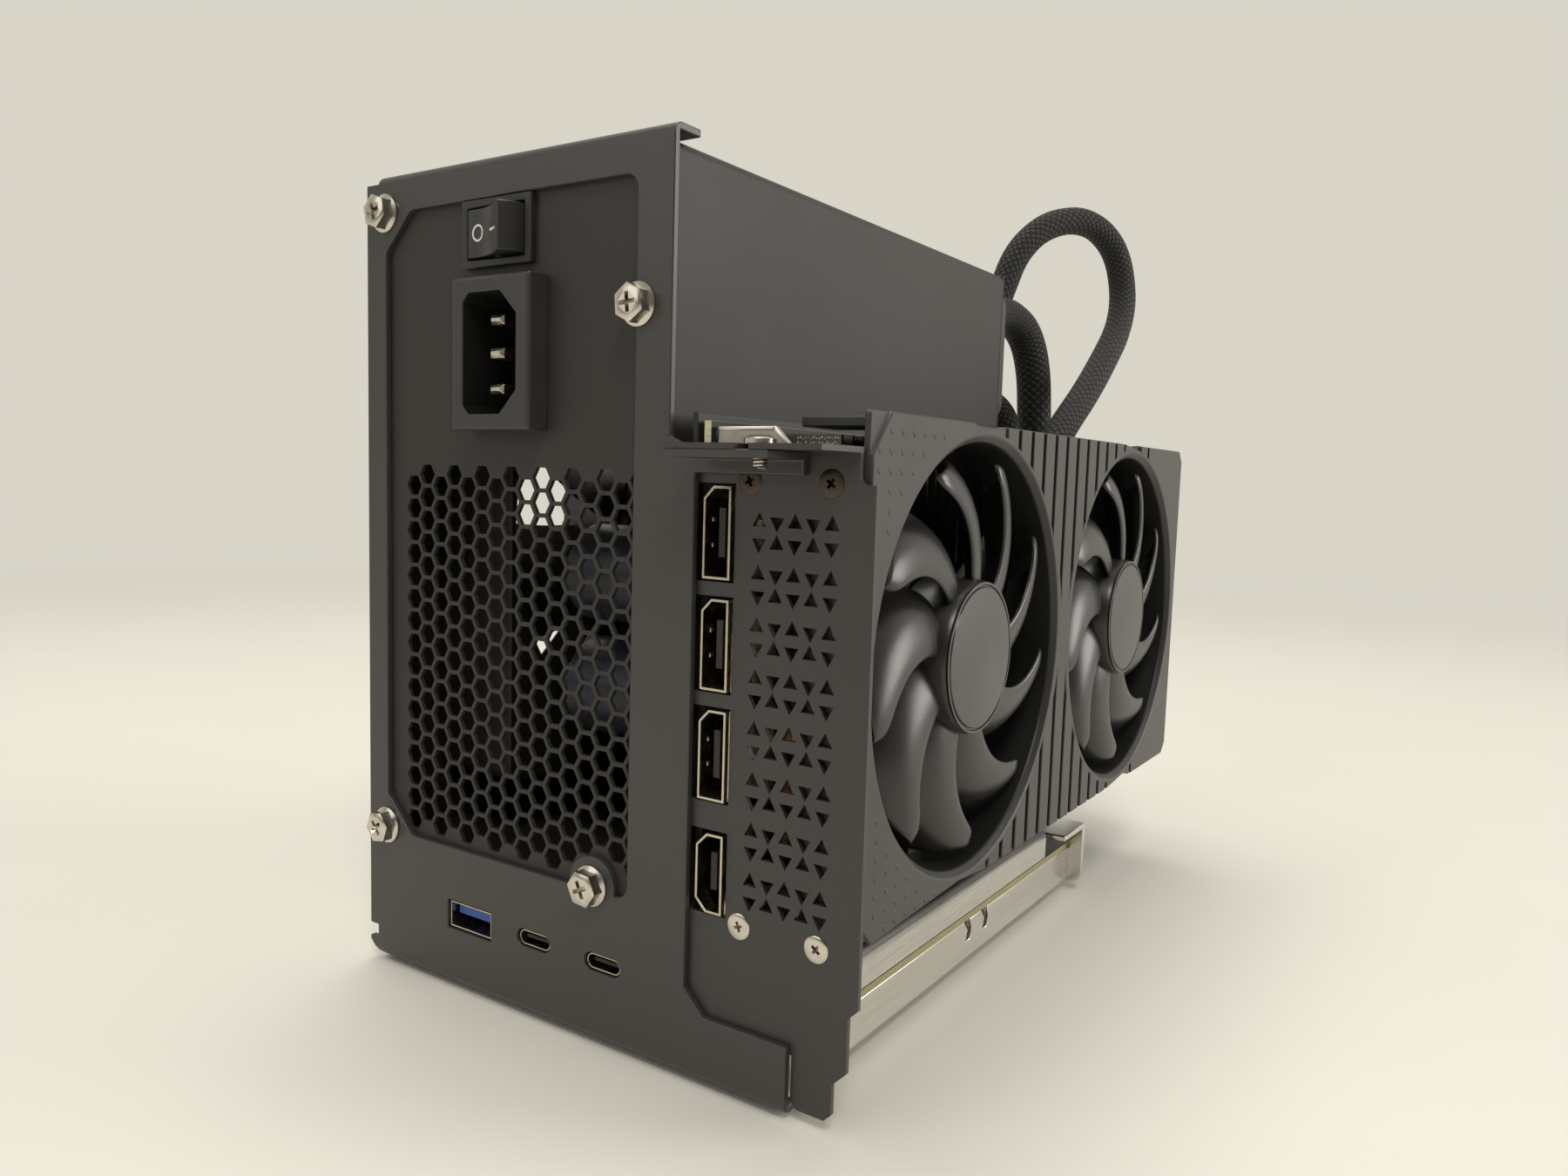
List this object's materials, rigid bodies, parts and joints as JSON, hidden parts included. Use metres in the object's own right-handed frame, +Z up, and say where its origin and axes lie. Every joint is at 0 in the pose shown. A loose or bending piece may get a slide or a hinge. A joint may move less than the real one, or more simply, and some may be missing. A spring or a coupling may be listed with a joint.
{
  "type": "external graphics card enclosure",
  "caption": "Open-frame external graphics card dock: folded rear plate with a mains power supply, brushed base with a dock board, fan-cooled card and sleeved power leads.",
  "frame": {"origin": "middle of the footprint, leads left out, on the surface that the foot pads stand on", "axes": "+Z up, +Y from the rear plate's sockets along the card, +X from the power supply to the card"},
  "size_m": [0.1324, 0.2565, 0.2119],
  "materials": {
    "dark_sheet": "warm dark grey powder coat, matte",
    "supply_sheet": "dark grey powder coat, matte",
    "base_aluminium": "brushed and clear anodised",
    "nickel_screw": "nickel plated",
    "board_laminate": "solder-masked laminate",
    "black_plastic": "moulded, fine grain",
    "rocker_plastic": "moulded, satin",
    "inlet_blade": "nickel plated",
    "socket_metal": "plated shell",
    "socket_core": "moulded",
    "blue_core": "moulded",
    "bracket_sheet": "black coat, satin",
    "shroud_plastic": "moulded, satin, ribbed face",
    "fan_plastic": "moulded, satin",
    "guard_wire": "black coat",
    "fin_aluminium": "mill finish",
    "copper": "bare copper",
    "backplate_sheet": "black coat, satin",
    "chip_package": "polished package",
    "core_ferrite": "ferrite and taped winding",
    "capacitor_sleeve": "shrunk sleeve",
    "lead_sleeve": "braided sleeve",
    "pad_rubber": "matte"
  },
  "bodies": {
    "chassis": {"rear_plate": "dark_sheet", "psu_rear_panel": "supply_sheet", "psu_case": "supply_sheet", "psu_cover": "supply_sheet", "base_tray": "base_aluminium", "top_cover": "base_aluminium", "end_bracket": "base_aluminium", "psu_screws": "nickel_screw", "base_screws": "nickel_screw", "cover_screws": "nickel_screw", "retaining_screw": "nickel_screw", "bracket_screws": "nickel_screw", "dock_board": "board_laminate", "card_board": "board_laminate", "psu_board": "board_laminate", "switch_bezel": "black_plastic", "mains_inlet": "black_plastic", "card_slot": "black_plastic", "power_headers": "black_plastic", "cable_gland": "black_plastic", "card_power_socket": "black_plastic", "card_plug": "black_plastic", "main_plug": "black_plastic", "aux_plug": "black_plastic", "mains_blades": "inlet_blade", "data_socket_shell": "socket_metal", "host_socket_shells": "socket_metal", "display_shells": "socket_metal", "video_shell": "socket_metal", "host_socket_inserts": "socket_core", "display_inserts": "socket_core", "video_insert": "socket_core", "data_socket_insert": "blue_core", "card_bracket": "bracket_sheet", "shroud": "shroud_plastic", "fan_carrier_front": "fan_plastic", "fan_carrier_rear": "fan_plastic", "psu_fan_frame": "fan_plastic", "psu_fan_guard": "guard_wire", "fin_stack": "fin_aluminium", "cooler_frame": "fin_aluminium", "psu_heatsinks": "fin_aluminium", "heat_pipes": "copper", "cold_plate": "copper", "psu_choke": "copper", "card_backplate": "backplate_sheet", "card_chip": "chip_package", "psu_transformer": "core_ferrite", "psu_capacitors": "capacitor_sleeve", "card_lead": "lead_sleeve", "main_lead": "lead_sleeve", "aux_lead": "lead_sleeve", "foot_pads": "pad_rubber"},
    "front_fan": {"fan_rotor_front": "fan_plastic"},
    "rear_fan": {"fan_rotor_rear": "fan_plastic"},
    "supply_fan": {"psu_fan_rotor": "fan_plastic"},
    "rocker": {"switch_rocker": "rocker_plastic"},
    "latch": {"slot_latch": "black_plastic"}
  },
  "joints": [
    {"name": "front_fan_spin", "type": "hinge", "parent": "chassis", "child": "front_fan", "pos_m": [0.058, -0.04295, 0.0806], "axis": [1, 0, 0], "continuous": true},
    {"name": "rear_fan_spin", "type": "hinge", "parent": "chassis", "child": "rear_fan", "pos_m": [0.058, 0.05555, 0.0806], "axis": [1, 0, 0], "continuous": true},
    {"name": "supply_fan_spin", "type": "hinge", "parent": "chassis", "child": "supply_fan", "pos_m": [-0.0525, -0.01425, 0.1024], "axis": [1, 0, 0], "continuous": true},
    {"name": "switch_rock", "type": "hinge", "parent": "chassis", "child": "rocker", "pos_m": [-0.0238, -0.09195, 0.1643], "axis": [0, 0, 1], "range_deg": [0, 36]},
    {"name": "latch_swing", "type": "hinge", "parent": "chassis", "child": "latch", "pos_m": [0.0288, 0.04025, 0.0178], "axis": [-1, 0, 0], "range_deg": [0, 28]}
  ]
}
